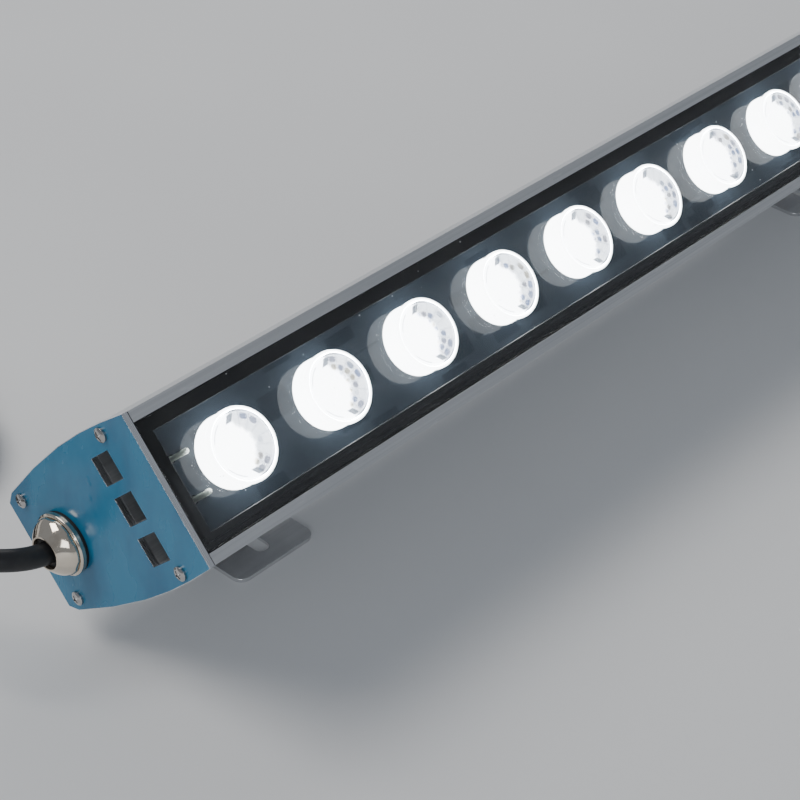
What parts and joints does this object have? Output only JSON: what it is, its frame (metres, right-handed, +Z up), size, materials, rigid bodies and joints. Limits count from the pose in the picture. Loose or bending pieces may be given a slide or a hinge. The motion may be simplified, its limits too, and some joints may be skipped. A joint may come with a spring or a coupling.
{
  "type": "led strip batten",
  "caption": "Aluminium LED wall-washer bar with a glass front over a row of collimating lenses, screwed end plates, a cable gland and two tilting sheet-steel feet.",
  "frame": {"origin": "on the table, midway along the bar and midway between the bar's front lip and the feet's rear edges, measured without the cable and its gland", "axes": "+X along the bar, away from the cable gland; +Y to the back, away from the light; +Z up"},
  "size_m": [0.5554, 0.2308, 0.0952],
  "materials": {
    "aluminium": "satin anodised, drawn along the bar",
    "cover_glass": "clear, gloss",
    "black_seal": "matt",
    "board": "dark solder mask, semi-gloss",
    "wire_sleeve": "thin wire sleeves, satin",
    "emitter": "phosphor under a clear dome",
    "holder": "translucent white",
    "lens": "clear moulded optic, lit",
    "driver_case": "satin",
    "blue_film": "protective film, gloss",
    "screw_steel": "bright",
    "nickel": "nickel plated, polished",
    "bracket_steel": "mirror-polished stainless sheet",
    "bolt_steel": "satin stainless",
    "cable_sheath": "satin",
    "tie_strap": "woven hook-and-loop strap",
    "plug_plastic": "matt",
    "pin_brass": "bright"
  },
  "bodies": {
    "lamp": {"housing": "aluminium", "end_plate_cable": "aluminium", "end_plate_blank": "aluminium", "glass_cover": "cover_glass", "glass_seal": "black_seal", "end_gasket_cable": "black_seal", "end_gasket_blank": "black_seal", "gland_washer": "black_seal", "gland_seal": "black_seal", "led_board": "board", "board_leads": "wire_sleeve", "led_emitters": "emitter", "lens_holders": "holder", "lens_01": "lens", "lens_02": "lens", "lens_03": "lens", "lens_04": "lens", "lens_05": "lens", "lens_06": "lens", "lens_07": "lens", "lens_08": "lens", "lens_09": "lens", "lens_10": "lens", "lens_11": "lens", "lens_12": "lens", "driver_box": "driver_case", "end_film_cable": "blue_film", "end_film_blank": "blue_film", "end_screws_cable": "screw_steel", "end_screws_blank": "screw_steel", "gland_body": "nickel", "gland_locknut": "nickel", "gland_dome": "nickel", "arm_1": "bracket_steel", "arm_2": "bracket_steel", "slot_bolt_1": "bolt_steel", "slot_nut_1": "bolt_steel", "slot_bolt_2": "bolt_steel", "slot_nut_2": "bolt_steel", "cable_inner": "cable_sheath", "cable_lead": "cable_sheath", "cable_coil": "cable_sheath", "cable_tail": "cable_sheath", "coil_tie": "tie_strap", "plug_boot": "plug_plastic", "plug_body": "plug_plastic", "plug_ring": "plug_plastic", "plug_pins": "pin_brass"},
    "foot_left": {"foot_1": "bracket_steel", "hinge_bolt_1": "bolt_steel", "hinge_nut_1": "bolt_steel", "hinge_washers_1": "bolt_steel"},
    "foot_right": {"foot_2": "bracket_steel", "hinge_bolt_2": "bolt_steel", "hinge_nut_2": "bolt_steel", "hinge_washers_2": "bolt_steel"}
  },
  "joints": [
    {"name": "left_foot_tilt", "type": "hinge", "parent": "lamp", "child": "foot_left", "pos_m": [-0.1846, 0.01877, 0.01365], "axis": [1, 0, 0], "range_deg": [-16, 106]},
    {"name": "right_foot_tilt", "type": "hinge", "parent": "lamp", "child": "foot_right", "pos_m": [0.1374, 0.01877, 0.01365], "axis": [1, 0, 0], "range_deg": [-16, 106]}
  ]
}
